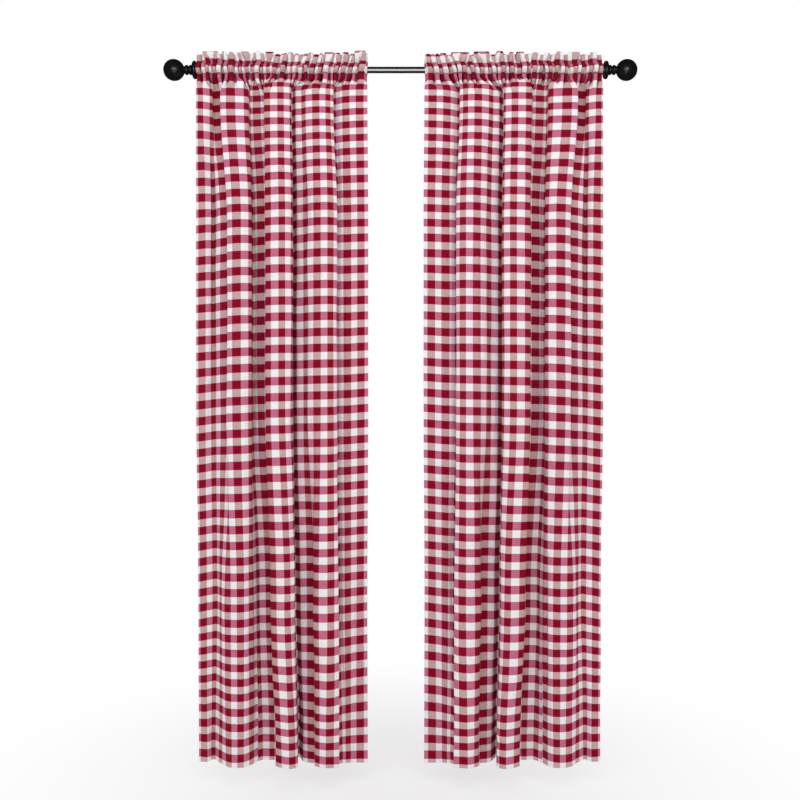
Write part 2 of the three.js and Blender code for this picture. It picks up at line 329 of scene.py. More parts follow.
def mesh_object(name: str, points: np.ndarray, faces: np.ndarray) -> bpy.types.Object:
    """Smooth-shaded object made of quads or triangles.

    Args:
        name: name of the piece.
        points: places in metres, shaped (points, 3).
        faces: indices shaped (faces, 3 or 4).

    Returns:
        The new object, linked to the scene.
    """
    mesh = bpy.data.meshes.new(name)
    count, corners = faces.shape
    mesh.vertices.add(len(points))
    mesh.vertices.foreach_set("co", points.astype(np.float32).ravel())
    mesh.loops.add(count * corners)
    mesh.loops.foreach_set("vertex_index", faces.astype(np.int32).ravel())
    mesh.polygons.add(count)
    mesh.polygons.foreach_set("loop_start", np.arange(0, count * corners, corners, dtype=np.int32))
    shade_smooth(mesh)
    mesh.update(calc_edges=True)
    mesh.validate()
    return add_object(name, mesh)


class NodeBench:
    """Places and links nodes in one node tree."""

    def __init__(self, tree: bpy.types.NodeTree) -> None:
        """Takes the tree and clears it."""
        self.tree = tree
        tree.nodes.clear()

    def place(self, kind: str, inputs: dict | None = None, **settings: object) -> bpy.types.Node:
        """Adds a node.

        Args:
            kind: type name of the node.
            inputs: socket name or index to a value, or to a socket to link from.
            settings: properties of the node.

        Returns:
            The new node.
        """
        node = self.tree.nodes.new(kind)
        for key, value in settings.items():
            setattr(node, key, value)
        self.fill(node, inputs or {})
        return node

    def fill(self, node: bpy.types.Node, inputs: dict) -> None:
        """Sets or links a node's inputs.

        Args:
            node: the node.
            inputs: socket name or index to a value, or to a socket to link from.
        """
        for key, value in inputs.items():
            if isinstance(value, bpy.types.NodeSocket):
                self.tree.links.new(value, node.inputs[key])
            else:
                node.inputs[key].default_value = value

    def group(self, tree: bpy.types.NodeTree, inputs: dict) -> bpy.types.NodeOutputs:
        """Adds a node group with its inputs set or linked.

        Args:
            tree: the group's tree.
            inputs: socket name to a value, or to a socket to link from.

        Returns:
            The group's outputs.
        """
        node = self.place("ShaderNodeGroup", node_tree=tree)
        self.fill(node, inputs)
        return node.outputs

    def math(self, operation: str, *values: object) -> bpy.types.NodeSocket:
        """Adds a Math node and returns its result."""
        return self.place("ShaderNodeMath", dict(enumerate(values)), operation=operation).outputs[0]

    def blend(self, share: object, low: object, high: object) -> bpy.types.NodeSocket:
        """Mixes two colours by a share and returns the colour."""
        inputs = {"Factor": share, 6: low, 7: high}
        return self.place("ShaderNodeMix", inputs, data_type="RGBA").outputs[2]

    def tint(self, colour: object, value: object) -> bpy.types.NodeSocket:
        """Multiplies a colour by a value and returns the colour."""
        inputs = {"Factor": 1.0, 6: colour, 7: value}
        return self.place("ShaderNodeMix", inputs, data_type="RGBA", blend_type="MULTIPLY").outputs[2]

    def ramp(
        self, value: object, low: object, high: object, first: float, last: float
    ) -> bpy.types.NodeSocket:
        """Maps a value smoothly from the range low to high to the range first to last.

        Args:
            value: the value or its socket.
            low: start of its range.
            high: end of its range.
            first: result at low.
            last: result at high.

        Returns:
            The result.
        """
        inputs = {"Value": value, "From Min": low, "From Max": high, "To Min": first, "To Max": last}
        node = self.place("ShaderNodeMapRange", inputs, interpolation_type="SMOOTHSTEP")
        return node.outputs["Result"]


def new_material(name: str) -> tuple[bpy.types.Material, NodeBench]:
    """Makes a material with no nodes.

    Args:
        name: name of the material.

    Returns:
        The material, and the bench that places its nodes.
    """
    material = bpy.data.materials.new(name)
    material.use_nodes = True
    return material, NodeBench(material.node_tree)


def shader_group(
    name: str, vectors: tuple[str, ...], values: tuple[str, ...], outputs: tuple[str, ...]
) -> tuple[NodeBench, bpy.types.NodeOutputs]:
    """Makes an empty shader node group.

    Args:
        name: name of the group.
        vectors: names of the inputs that are vectors.
        values: names of the inputs that are values.
        outputs: names of the outputs, which are all values.

    Returns:
        The bench that places the group's nodes, and what the group is given.
    """
    tree = bpy.data.node_groups.new(name, "ShaderNodeTree")
    kinds = (
        ("INPUT", "NodeSocketVector", vectors),
        ("INPUT", "NodeSocketFloat", values),
        ("OUTPUT", "NodeSocketFloat", outputs),
    )
    for direction, kind, sockets in kinds:
        for socket in sockets:
            tree.interface.new_socket(socket, in_out=direction, socket_type=kind)
    bench = NodeBench(tree)
    return bench, bench.place("NodeGroupInput").outputs


def grain_group() -> bpy.types.NodeTree:
    """Fine uneven grain of paint, thread and cloth, as a value round 1 and a height.

    Returns:
        A group with inputs Place, Scale and Amount, and outputs Value and Height.
    """
    bench, given = shader_group("fine grain", ("Place",), ("Scale", "Amount"), ("Value", "Height"))
    noise = bench.place(
        "ShaderNodeTexNoise",
        {"Vector": given["Place"], "Scale": given["Scale"], "Detail": 3.0, "Roughness": 0.6},
    ).outputs[0]
    centred = bench.math("SUBTRACT", noise, 0.5)
    spread = bench.math("MULTIPLY", centred, given["Amount"])
    value = bench.math("ADD", spread, 1.0)
    bench.place("NodeGroupOutput", {"Value": value, "Height": noise})
    return bench.tree


def band_group() -> bpy.types.NodeTree:
    """Dyed bands two checks apart from middle to middle.

    Returns:
        A group with inputs Along, Half Width and Softness, in checks, and output Band, 1 on a band.
    """
    bench, given = shader_group("dyed band", (), ("Along", "Half Width", "Softness"), ("Band",))
    centred = bench.math("SUBTRACT", given["Along"], 0.5)
    distance = bench.math("ABSOLUTE", bench.math("WRAP", centred, 1.0, -1.0))
    near = bench.math("SUBTRACT", given["Half Width"], given["Softness"])
    far = bench.math("ADD", given["Half Width"], given["Softness"])
    bench.place("NodeGroupOutput", {"Band": bench.ramp(distance, near, far, 1.0, 0.0)})
    return bench.tree


def weave_group() -> bpy.types.NodeTree:
    """Plain weave, with each yarn passing over one and under the next.

    Returns:
        A group with inputs Place, in checks, and Yarns, the yarns in one check, and outputs Over, 1
        where the lengthways yarn is on top, and Height.
    """
    bench, given = shader_group("plain weave", ("Place",), ("Yarns",), ("Over", "Height"))
    place = bench.place("ShaderNodeSeparateXYZ", {"Vector": given["Place"]}).outputs
    turn = bench.math("MULTIPLY", given["Yarns"], math.pi)
    across, along = (bench.math("SINE", bench.math("MULTIPLY", place[axis], turn)) for axis in (0, 1))
    crossing = bench.math("MULTIPLY", across, along)
    step = 0.25  # softness of the step from one yarn to the other
    over = bench.ramp(crossing, -step, step, 0.0, 1.0)
    warp = bench.math("MULTIPLY", bench.math("ABSOLUTE", across), over)
    weft = bench.math("MULTIPLY", bench.math("ABSOLUTE", along), bench.math("SUBTRACT", 1.0, over))
    bench.place("NodeGroupOutput", {"Over": over, "Height": bench.math("ADD", warp, weft)})
    return bench.tree


Colour = tuple[float, float, float, float]


@dataclass(frozen=True)
class GinghamFinish:
    """Yarn-dyed gingham: the colours of its four kinds of check, and its weave.

    Attributes:
        red_on_red: check where both yarns are red.
        red_on_white: check where the crossways yarn is red.
        white_on_red: check where the lengthways yarn is red.
        white: check where neither yarn is red.
        yarns_in_check: yarns across one check.
        band_half: half the width of a dyed band, in checks.
        band_softness: half the width of a band's soft edge, in checks.
        yarn_contrast: how far a yarn on top differs from one below, in a check of two colours.
        slub: cells of the uneven yarn in one check, along a yarn and across it.
        slub_in_mixed: how far an uneven yarn shows in a check of two colours.
        slub_elsewhere: how far it shows in a plain check.
        roughness: roughness on top of a yarn.
        hollow_roughness: roughness between the yarns.
        specular: level of the plain reflection.
        sheen: weight of the sheen.
        bump_strength: strength of the weave's relief.
        bump_depth: height of the weave, in metres.
    """

    red_on_red: Colour = (0.25, 0.0015, 0.016, 1)
    red_on_white: Colour = (0.555, 0.147, 0.24, 1)
    white_on_red: Colour = (0.565, 0.368, 0.378, 1)
    white: Colour = (0.866, 0.87, 0.868, 1)
    yarns_in_check: float = 30.0
    band_half: float = 0.53
    band_softness: float = 0.03
    yarn_contrast: float = 0.2
    slub: tuple[float, float] = (3.5, 9.0)
    slub_in_mixed: float = 0.8
    slub_elsewhere: float = 0.3
    roughness: float = 0.88
    hollow_roughness: float = 0.94
    specular: float = 0.06
    sheen: float = 0.015
    bump_strength: float = 0.35
    bump_depth: float = 0.25 * MM

    def material(self, groups: dict[str, bpy.types.NodeTree]) -> bpy.types.Material:
        """Builds the material on the cloth's own map, which counts checks.

        Args:
            groups: the shared shader groups by name.

        Returns:
            The material.
        """
        material, bench = new_material("gingham")
        place = bench.place("ShaderNodeUVMap", uv_map="cloth").outputs[0]
        counts = bench.place("ShaderNodeSeparateXYZ", {"Vector": place}).outputs
        shape = {"Half Width": self.band_half, "Softness": self.band_softness}
        warp, weft = (
            bench.group(groups["dyed band"], {"Along": count, **shape})["Band"]
            for count in (counts[0], counts[1])
        )
        pale_row = bench.blend(warp, self.white, self.white_on_red)
        red_row = bench.blend(warp, self.red_on_white, self.red_on_red)
        colour = bench.blend(weft, pale_row, red_row)

        weave = bench.group(groups["plain weave"], {"Place": place, "Yarns": self.yarns_in_check})
        weft_side = bench.math("SUBTRACT", weft, warp)
        swing = bench.math("MULTIPLY", bench.math("SUBTRACT", weave["Over"], 0.5), self.yarn_contrast)
        yarn = bench.math("ADD", bench.math("MULTIPLY", swing, weft_side), 1.0)
        along, across = self.slub
        weft_slub = self.uneven_yarn(bench, groups, place, (along, across, 1), weft_side)
        warp_side = bench.math("SUBTRACT", warp, weft)
        warp_slub = self.uneven_yarn(bench, groups, place, (across, along, 1), warp_side)
        shade = bench.math("MULTIPLY", yarn, bench.math("MULTIPLY", weft_slub, warp_slub))
        roughness = bench.ramp(weave["Height"], 0.0, 1.0, self.hollow_roughness, self.roughness)
        bump = bench.place(
            "ShaderNodeBump",
            {"Height": weave["Height"], "Strength": self.bump_strength, "Distance": self.bump_depth},
        )
        shader = bench.place(
            "ShaderNodeBsdfPrincipled",
            {
                "Base Color": bench.tint(colour, shade),
                "Roughness": roughness,
                "Normal": bump.outputs[0],
                "Specular IOR Level": self.specular,
                "Sheen Weight": self.sheen,
                "Sheen Roughness": 0.5,
            },
        )
        bench.place("ShaderNodeOutputMaterial", {"Surface": shader.outputs[0]})
        return material

    def uneven_yarn(
        self,
        bench: NodeBench,
        groups: dict[str, bpy.types.NodeTree],
        place: bpy.types.NodeSocket,
        cells: tuple[float, float, float],
        share: bpy.types.NodeSocket,
    ) -> bpy.types.NodeSocket:
        """Streaks of thick and thin yarn, as a value round 1.

        Args:
            bench: the material's nodes.
            groups: the shared shader groups by name.
            place: place on the cloth, in checks.
            cells: streaks in one check across and along.
            share: 1 in the checks where these yarns show most.

        Returns:
            The value.
        """
        stretched = bench.place("ShaderNodeVectorMath", {0: place, 1: cells}, operation="MULTIPLY")
        amount = bench.ramp(share, 0.0, 1.0, self.slub_elsewhere, self.slub_in_mixed)
        inputs = {"Place": stretched.outputs[0], "Scale": 1.0, "Amount": amount}
        streaks = bench.group(groups["fine grain"], inputs)
        return streaks["Value"]


@dataclass(frozen=True)
class GrainedFinish:
    """Paint, lacquer or thread with a fine grain in its colour, gloss and surface.

    Attributes:
        name: name of the material.
        colour: base colour.
        roughness: middle roughness.
        grain: scale of the grain, per metre.
        uneven: how far the colour and gloss vary, as a share.
        bump_depth: height of the grain, in metres.
        specular: level of the plain reflection.
        coat: weight of a clear coat.
        coat_roughness: roughness of the coat.
        coat_ior: refraction of the coat.
    """

    name: str
    colour: Colour
    roughness: float
    grain: float
    uneven: float
    bump_depth: float
    specular: float = 0.5
    coat: float = 0.0
    coat_roughness: float = 0.1
    coat_ior: float = 1.5

    def material(self, groups: dict[str, bpy.types.NodeTree]) -> bpy.types.Material:
        """Builds the material on Object coordinates.

        Args:
            groups: the shared shader groups by name.

        Returns:
            The material.
        """
        material, bench = new_material(self.name)
        place = bench.place("ShaderNodeTexCoord").outputs["Object"]
        inputs = {"Place": place, "Scale": self.grain, "Amount": self.uneven}
        grain = bench.group(groups["fine grain"], inputs)
        bump = bench.place(
            "ShaderNodeBump", {"Height": grain["Height"], "Strength": 0.5, "Distance": self.bump_depth}
        )
        shader = bench.place(
            "ShaderNodeBsdfPrincipled",
            {
                "Base Color": bench.tint(self.colour, grain["Value"]),
                "Roughness": bench.math("MULTIPLY", grain["Value"], self.roughness),
                "Normal": bump.outputs[0],
                "Specular IOR Level": self.specular,
                "Coat Weight": self.coat,
                "Coat Roughness": self.coat_roughness,
                "Coat IOR": self.coat_ior,
            },
        )
        bench.place("ShaderNodeOutputMaterial", {"Surface": shader.outputs[0]})
        return material


ROD_LACQUER = GrainedFinish(
    "rod lacquer", (0.010, 0.008, 0.006, 1), roughness=0.3, grain=900, uneven=0.3,
    bump_depth=0.02 * MM, coat=1.0, coat_roughness=0.14, coat_ior=2.2,
)
FINIAL_BLACK = GrainedFinish(
    "finial black", (0.005, 0.005, 0.0065, 1), roughness=0.3, grain=1200, uneven=0.2,
    bump_depth=0.015 * MM, specular=0.3,
)
SEWING_THREAD = GrainedFinish(
    "sewing thread", (0.42, 0.12, 0.17, 1), roughness=0.75, grain=2500, uneven=0.5,
    bump_depth=0.1 * MM, specular=0.2,
)


@dataclass
class Heading:
    """The gathered top of a panel: rows of stitches, the rod pocket between them and the ruffle above.

    Heights are measured up from the rod's axis.
    """

    ruffle_top: float
    margin: float = 1.5  # from the panel's outer edge to the first pleat
    width: float = 516.5  # of the drawn-up cloth
    upper_seam: float = 16.0
    lower_seam: float = -12.0
    pleat_uneven: float = 6.5  # how far a tuck lies off the edge of a check
    pleat_depths: tuple[float, float] = (2.2, 4.0)  # depth of a pleat, times what its cloth alone gives
    follow_folds: float = 0.5  # how far the pleats crowd above the folds that lap
    draw_up: tuple[float, float] = (0.42, 0.62)  # least and most width of a pleat, per cloth
    face: float = 0.4  # share of a pleat's cloth in the face of its puff
    face_power: float = 3.5  # how flat that face is
    tuck_floor: float = 0.24  # share of a pleat's cloth in the floor of the tuck behind
    columns: tuple[float, ...] = (0, 0.06, 0.12, 0.29, 0.36, 0.5, 0.64, 0.71, 0.88, 0.94)
    row_slip: float = 0.16  # how far the rows of checks slip from pleat to pleat, in checks
    row_sag: float = 0.14  # how far they sag down the middle of a puff, in checks
    slip_ends: float = 30.0  # how far below the stitches they are level again
    lean_uneven: float = 3.5  # how far a pleat leans more or less than the one beside it
    stitched_depth: float = 0.7  # depth of the pleats along the stitches, as a share
    pocket_depth: float = 0.9  # and round the rod
    rod_clearance: float = 10.4  # from the rod's axis to the pocket's tucks
    pocket_bulge: float = 17.0  # from the rod's axis to the pocket's middle depth
    pocket_round: float = 0.9  # 1 makes the pocket an ellipse in section, and less makes it fuller
    layer_gap: float = 1.3  # between the two layers along the stitches
    ruffle_skips: float = 0.4  # share of the tucks that aren't carried up into the ruffle
    ruffle_depth: float = 0.6  # depth of the ruffle's puffs, as a share
    ruffle_reach: float = 8.0  # furthest that a puff of the ruffle stands forward or back
    ruffle_crown: float = 0.13  # how far a puff's top rises for its reach forward
    ruffle_puff: float = 2.2  # how far the ruffle's two layers part
    puff_power: float = 0.7  # and how soon they do
    ruffle_dip: float = 4.5  # how far the lowest puff of the ruffle drops below the highest
    notch_power: int = 4  # how narrow the gap between two puffs is
    ruffle_notch: float = 1.8  # how far its top drops between two puffs
    outer_dip: float = 5.0  # how far its first puff drops
    first_puff: tuple[float, float] = (0.7, 1.1)  # where along the puffs that drop ends
    ruffle_sway: float = 4.0  # how far a puff leans aside
    ruffle_lean: float = 4.0  # how far the ruffle leans forward in the middle of its range
    lean_turn: float = 9.0  # how often its lean comes and goes along the panel, in radians
    tail: float = 3.0  # the turned-under end of the back layer, below the lower stitches
    pocket_rows: int = 14
    ruffle_rows: int = 10
    samples: int = 6060  # places where a curve of pleats is worked out
    widest_swing: float = 2.1  # furthest that the side of a pleat turns, in radians
    swings: int = 240  # steps of the search for a pleat's turn
    fit_rounds: int = 20  # rounds of sharing the width out among the pleats

    def pleat_direction(self, turn: np.ndarray) -> np.ndarray:
        """Direction of the cloth round its pleats.

        Args:
            turn: pleats counted along the cloth.

        Returns:
            Directions from -1 to 1.
        """
        aside = 2 * (turn % 1) - 1
        out = np.abs(aside)
        off_face = np.minimum(out / self.face, 1) ** self.face_power
        off_floor = np.sin(math.pi / 2 * np.minimum((1 - out) / self.tuck_floor, 1))
        return -np.sign(aside) * off_face * off_floor

    def pleat_curve(
        self, edges: np.ndarray, target: np.ndarray, depths: np.ndarray, cloth: np.ndarray
    ) -> np.ndarray:
        """Plan curve of cloth drawn up to the heading's width, in puffs with tucks between them.

        Args:
            edges: places along the flat cloth where the pleats begin and end, in their tucks.
            target: where in plan each of these would lie above the hanging folds.
            depths: how many times deeper each pleat is than its cloth alone would make it.
            cloth: places along the flat cloth to work out.

        Returns:
            Plan places shaped (places, 2), as (in from the outer edge, forward of the tucks).
        """
        lengths = np.diff(edges)
        drawn = np.diff(target) / lengths
        for _ in range(self.fit_rounds):
            drawn = np.clip(drawn * self.width / np.sum(drawn * lengths), *self.draw_up)
        swings = np.linspace(0, self.widest_swing, self.swings)
        turns = np.linspace(0, 1, self.swings, endpoint=False)
        widths = np.cos(swings[:, None] * self.pleat_direction(turns)).mean(axis=1)
        swing = np.interp(drawn, widths[::-1], swings[::-1])
        fine = np.linspace(0, CLOTH_WIDTH, self.samples)
        turn = np.interp(fine, edges, np.arange(len(edges)))
        pleat = np.minimum(turn.astype(int), len(lengths) - 1)
        direction = swing[pleat] * self.pleat_direction(turn)
        step = fine[1] - fine[0]
        across = np.cumsum(np.cos(direction)) * step
        across *= self.width / across[-1]
        forward = np.cumsum(np.sin(direction)) * step * depths[pleat]
        return np.stack(
            [self.margin + np.interp(cloth, fine, across), np.interp(cloth, fine, forward)], axis=-1
        )


@dataclass
class SheetRows:
    """Rows of a sheet's middle surface, from the hem up the front, over the top and down the back."""

    plan: list[np.ndarray] = field(default_factory=list)
    height: list[np.ndarray] = field(default_factory=list)
    below_seam: list[float] = field(default_factory=list)

    def add(self, plan: np.ndarray, height: np.ndarray | float, below_seam: float) -> None:
        """Adds a row.

        Args:
            plan: plan places shaped (columns, 2).
            height: height of the row, or of each of its points.
            below_seam: length down the cloth from the lower row of stitches.
        """
        self.plan.append(plan)
        self.height.append(np.broadcast_to(height, plan.shape[:1]))
        self.below_seam.append(below_seam)


@dataclass
class Panel:
    """One hanging length of gingham.

    Attributes:
        side: the end of the rod that it hangs at.
        outer_edge: distance of its outer edge from the middle of the rod.
        widen: how much wider than the table it is spread.
        seed: seed of its pleats and soft waves.
    """

    side: Side
    outer_edge: float
    widen: float
    seed: int
    thickness: float = 0.7
    side_hem: float = 12.0
    bottom_hem: float = 36.0
    hem_extra: float = 0.8  # how much thicker the cloth is at its hems
    hem_edge: float = 1.5  # half the width of the step there
    hem_row: float = 1.0  # from the step, or from the bottom edge, to the next row of the mesh
    hem_stitches: float = 3.0  # how far below the step the bottom hem is sewn
    first_step: float = 3.0  # between the first two rows of the mesh under the heading
    step_growth: float = 1.11
    longest_step: float = 50.0
    tuck_half: float = 0.2  # half the width of the cloth in a tuck where the rows of checks jump
    gather_reach: tuple[float, float] = (28.0, 70.0)  # how far below the stitches a pleat runs out
    gather_opens: float = 7.0  # how far below them it reaches its full depth
    gather_holds: float = 0.15  # share of that way over which it keeps its full width
    keep_clear: float = 6.0  # length over which the hanging cloth leaves the back layer
    billow: float = 5.0  # how far the cloth swells forward under the heading
    billow_length: float = 70.0
    hem_settles: tuple[float, float] = (1800.0, 2095.0)  # drops over which it turns uneven
    wave_height: float = 0.9
    wave_widths: tuple[float, ...] = (19.0, 29.0, 46.0, 71.0, 118.0)
    wave_falls: tuple[float, ...] = (310.0, 720.0)
    wave_lean: float = 0.4
    waves_begin: tuple[float, float] = (60.0, 300.0)  # drops between which the soft waves come in
    first_band: float = 0.35  # width of the white band along the outer edge, in checks
    ruffle_rise: float = 1.8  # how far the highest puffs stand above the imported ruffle
    heading: Heading = field(init=False)
    hem_drop: float = field(init=False)
    random: np.random.Generator = field(init=False)
    cloth: np.ndarray = field(init=False)  # place along the flat cloth of each column of the mesh
    pleated: np.ndarray = field(init=False)  # plan places of the drawn-up cloth
    ruffled: np.ndarray = field(init=False)  # and of the ruffle
    ruffle_turn: np.ndarray = field(init=False)  # puffs counted along the ruffle
    lean: np.ndarray = field(init=False)  # how far each column leans aside down the pocket
    reach: np.ndarray = field(init=False)  # how far below the stitches its pleat runs out
    row_slip: np.ndarray = field(init=False)  # how far its rows of checks slip, in checks
    ruffle_sway: np.ndarray = field(init=False)  # how far its puff leans aside
    ruffle_drop: np.ndarray = field(init=False)  # how far its puff drops below the highest
    weave_places: np.ndarray = field(init=False)  # places of the counts in WEAVE_ROWS
    outside: np.ndarray = field(init=False)  # points of the sheet's outside, by row and column
    normal: np.ndarray = field(init=False)  # and the sheet's normals there
    below_seam: np.ndarray = field(init=False)  # length down the cloth of each row

    def __post_init__(self) -> None:
        """Takes the panel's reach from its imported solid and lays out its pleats."""
        low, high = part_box(self.side.node("panel"))
        self.heading = Heading(ruffle_top=high.z / MM + self.ruffle_rise)
        self.hem_drop = -low.z / MM
        self.random = np.random.default_rng(self.seed)
        head = self.heading
        tucks = np.arange(self.first_band + 1, CLOTH_WIDTH / CHECK - 1) * CHECK
        tucks += self.random.uniform(-1, 1, len(tucks)) * head.pleat_uneven
        edges = np.concatenate([[0], tucks, [CLOTH_WIDTH]])
        skips = np.random.default_rng(self.seed + 1).random(len(edges)) < head.ruffle_skips
        skips[[0, -1]] = False
        ruffle_edges = edges[~skips]
        pleats = len(edges) - 1
        turn = np.append((np.arange(pleats)[:, None] + head.columns).ravel(), pleats)
        self.cloth = np.interp(turn, np.arange(pleats + 1), edges)
        above_folds = np.interp(edges, [fold.cloth for fold in FOLDS], [fold.top[0] for fold in FOLDS])
        even = edges / CLOTH_WIDTH * head.width
        target = even + (above_folds - even) * head.follow_folds
        depths = self.random.uniform(*head.pleat_depths, pleats)
        self.pleated = head.pleat_curve(edges, target, depths, self.cloth)
        even = ruffle_edges / CLOTH_WIDTH * head.width
        self.ruffled = head.pleat_curve(ruffle_edges, even, depths[: len(even) - 1], self.cloth)
        self.ruffle_turn = np.interp(self.cloth, ruffle_edges, np.arange(len(ruffle_edges)))
        self.lean = np.interp(self.cloth, LEAN_PLACES, LEAN_ASIDE)
        self.lean += self.by_pleat(turn, -1, 1) * head.lean_uneven
        self.reach = self.by_pleat(turn, *self.gather_reach)
        self.row_slip = self.by_pleat(turn, -1, 1) * head.row_slip
        self.row_slip -= (np.sin(math.pi * (turn % 1)) - 0.5) * head.row_sag
        self.ruffle_sway = self.by_pleat(self.ruffle_turn, -1, 1) * head.ruffle_sway
        self.ruffle_drop = self.by_pleat(self.ruffle_turn, 0, 1) * head.ruffle_dip
        self.weave_places = self.in_tucks(edges, np.array(WEAVE_PLACES, dtype=float))

    def by_pleat(self, turn: np.ndarray, low: float, high: float) -> np.ndarray:
        """Seeded values, one for each pleat, that change in the tucks between them.

        Args:
            turn: pleats counted along the cloth, for each column.
            low: least value.
            high: most value.

        Returns:
            A value for each column.
        """
        pleats = int(turn[-1])
        sides = np.arange(pleats)[:, None] + [self.heading.columns[1], self.heading.columns[-1]]
        values = self.random.uniform(low, high, pleats)
        return np.interp(turn, sides.ravel(), np.repeat(values, 2))

    def in_tucks(self, edges: np.ndarray, places: np.ndarray) -> np.ndarray:
        """Moves each pair of like places to the two sides of the nearest tuck between pleats.

        Args:
            edges: places of the tucks along the cloth.
            places: places along the cloth.

        Returns:
            The places in order, no two alike.
        """
        moved = places.copy()
        for i in np.flatnonzero(np.diff(places) == 0):
            tuck = edges[np.argmin(np.abs(edges - places[i]))]
            moved[i], moved[i + 1] = tuck - self.tuck_half, tuck + self.tuck_half
        return moved

    def drops(self) -> np.ndarray:
        """Spaces out the hanging rows, close together under the heading and at the hem.

        Returns:
            Drops of the rows below the rod.
        """
        drops = [-self.heading.lower_seam]
        step = self.first_step
        while drops[-1] + step < self.hem_drop - self.bottom_hem - self.longest_step / 2:
            drops.append(drops[-1] + step)
            step = min(step * self.step_growth, self.longest_step)
        hem = self.hem_drop - self.bottom_hem
        drops += [hem - self.hem_row, hem + self.hem_row, hem + self.bottom_hem / 2]
        drops += [self.hem_drop - self.hem_row, self.hem_drop]
        return np.array(drops)

    def hanging_plan(self, drops: np.ndarray) -> np.ndarray:
        """Hangs the cloth in its folds, with its gathers, creases and waves.

        Args:
            drops: drops of the rows below the rod.

        Returns:
            Plan places shaped (drops, columns, 2).
        """
        knots = np.array([fold.top for fold in FOLDS], dtype=float)[None]
        changes = (("middle", FOLDS_SETTLE), ("lower", FOLDS_DEEPEN), ("hem", FOLDS_SPREAD))
        for level, between in changes:
            reached = np.array([getattr(fold, level) for fold in FOLDS], dtype=float)
            knots = knots + (reached - knots) * smoothstep(drops, *between)[:, None, None]
        stations = np.array([fold.cloth for fold in FOLDS], dtype=float)
        plan = curve_through(knots, stations, self.cloth)
        lift = self.soft_waves(drops) - sum(crease.depths(drops, self.cloth) for crease in CREASES)
        plan = plan + plan_normals(plan) * lift[..., None]
        fall = (drops + self.heading.lower_seam)[:, None]
        plan[..., 1] += self.billow * np.sin(math.pi * np.clip(fall / self.billow_length, 0, 1)) ** 2
        opened = smoothstep(fall, 0, self.gather_opens)
        depth = self.heading.stitched_depth + (1 - self.heading.stitched_depth) * opened
        gather = 1 - smoothstep(fall / self.reach, self.gather_holds, 1)
        return plan + (self.gathered(depth, 1.0) - plan) * gather[..., None]

    def gathered(self, depth: np.ndarray | float, leaning: float) -> np.ndarray:
        """Plan places of the drawn-up cloth.

        Args:
            depth: depth of the pleats as a share, one value or a column of them.
            leaning: share of the way down the pocket, which sets how far the pleats lean.

        Returns:
            Plan places shaped (columns, 2), or (rows, columns, 2) for a column of depths.
        """
        forward = (self.pleated[:, 1] - self.pleated[:, 1].mean()) * depth
        across = np.broadcast_to(self.pleated[:, 0] + self.lean * leaning, forward.shape)
        return np.stack([across, forward], axis=-1)

    def pocket(self) -> list[tuple[np.ndarray, np.ndarray, float, float]]:
        """Rows up the rod pocket.

        Returns:
            Plan places of the front, those of the back, height, and length from the lower stitches.
        """
        head = self.heading
        forward = self.pleated[:, 1]
        front = head.rod_clearance + forward * head.pocket_depth
        back = -head.rod_clearance - (forward.max() - forward) * head.pocket_depth
        rows = []
        length = 0.0
        last = None
        for angle in np.radians(np.linspace(-90, 90, head.pocket_rows + 1)):
            rounded = max(math.cos(angle), 0.0) ** head.pocket_round
            height = math.sin(angle) * (head.upper_seam if angle > 0 else -head.lower_seam)
            here = (rounded * head.pocket_bulge, height)
            length += math.dist(here, last) if last else 0.0
            last = here
            seam = self.gathered(head.stitched_depth, (1 - math.sin(angle)) / 2)
            apart = plan_normals(seam) * head.layer_gap / 2
            layers = []
            for plan, bulge in ((seam + apart, front), (seam - apart, back)):
                plan[:, 1] += (bulge - plan[:, 1]) * rounded
                layers.append(plan)
            rows.append((*layers, height, length))
        return rows

    def soft_waves(self, drops: np.ndarray) -> np.ndarray:
        """Low uneven waves of the hanging cloth.

        Args:
            drops: drops of the rows below the rod.

        Returns:
            How far the cloth stands out along its normals, shaped (drops, columns).
        """
        waves = np.zeros((len(drops), len(self.cloth)))
        for across in self.wave_widths:
            for down in self.wave_falls:
                phase = self.random.uniform(0, 2 * math.pi, 2)
                lean = self.random.uniform(-self.wave_lean, self.wave_lean)
                run = self.cloth / across * 2 * math.pi + phase[0]
                fall = drops[:, None] / down * 2 * math.pi
                waves += np.sin(run + lean * fall) * np.sin(fall + phase[1])
        return waves * self.wave_height / 2 * smoothstep(drops, *self.waves_begin)[:, None]

    def ruffle_edge(self) -> tuple[np.ndarray, np.ndarray]:
        """Shapes the ruffle's top edge in puffs.

        Returns:
            Plan places of the edge, and its heights.
        """
        head = self.heading
        depth = (self.ruffled[:, 1] - self.ruffled[:, 1].mean()) * head.ruffle_depth
        depth = head.ruffle_reach * np.tanh(depth / head.ruffle_reach)
        lean = head.ruffle_lean * (1 + np.sin(self.cloth / CLOTH_WIDTH * head.lean_turn + self.seed))
        plan = np.stack([self.ruffled[:, 0] + self.ruffle_sway, depth + lean], axis=-1)
        notch = np.abs(2 * (self.ruffle_turn % 1) - 1) ** head.notch_power * head.ruffle_notch
        first_drop = head.outer_dip * (1 - smoothstep(self.ruffle_turn, *head.first_puff))
        drop = notch + np.maximum(self.ruffle_drop, first_drop)
        return plan, head.ruffle_top - drop + depth * head.ruffle_crown

